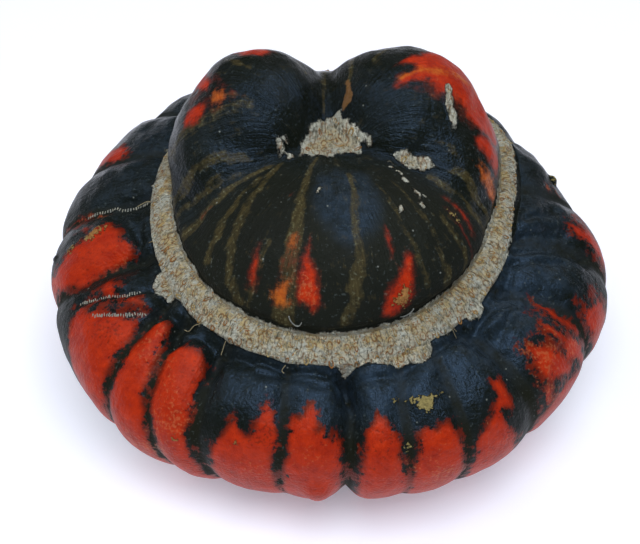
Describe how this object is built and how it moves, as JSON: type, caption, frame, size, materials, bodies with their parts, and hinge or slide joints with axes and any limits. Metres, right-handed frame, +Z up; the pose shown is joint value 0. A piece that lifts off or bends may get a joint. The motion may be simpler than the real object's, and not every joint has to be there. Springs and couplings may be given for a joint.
{
  "type": "turban squash",
  "caption": "Whole turban squash resting on its stem end: a ribbed ring of fruit, a cork band and a lobed cap rising out of it, with a cut stem stub underneath.",
  "frame": {"origin": "on the surface the squash rests on, below the middle of its box", "axes": "+Z up, from the stem end to the cap; -Y towards the front lobe of the cap; +X along the widest extent"},
  "size_m": [0.2368, 0.2146, 0.1485],
  "materials": {
    "rind": "smooth waxy rind, blue-black to dark green with vermilion patches, satin gloss",
    "stem": "dry corky cut stem, matt"
  },
  "bodies": {
    "root": {"squash": "rind", "stem_stub": "stem"}
  },
  "joints": []
}
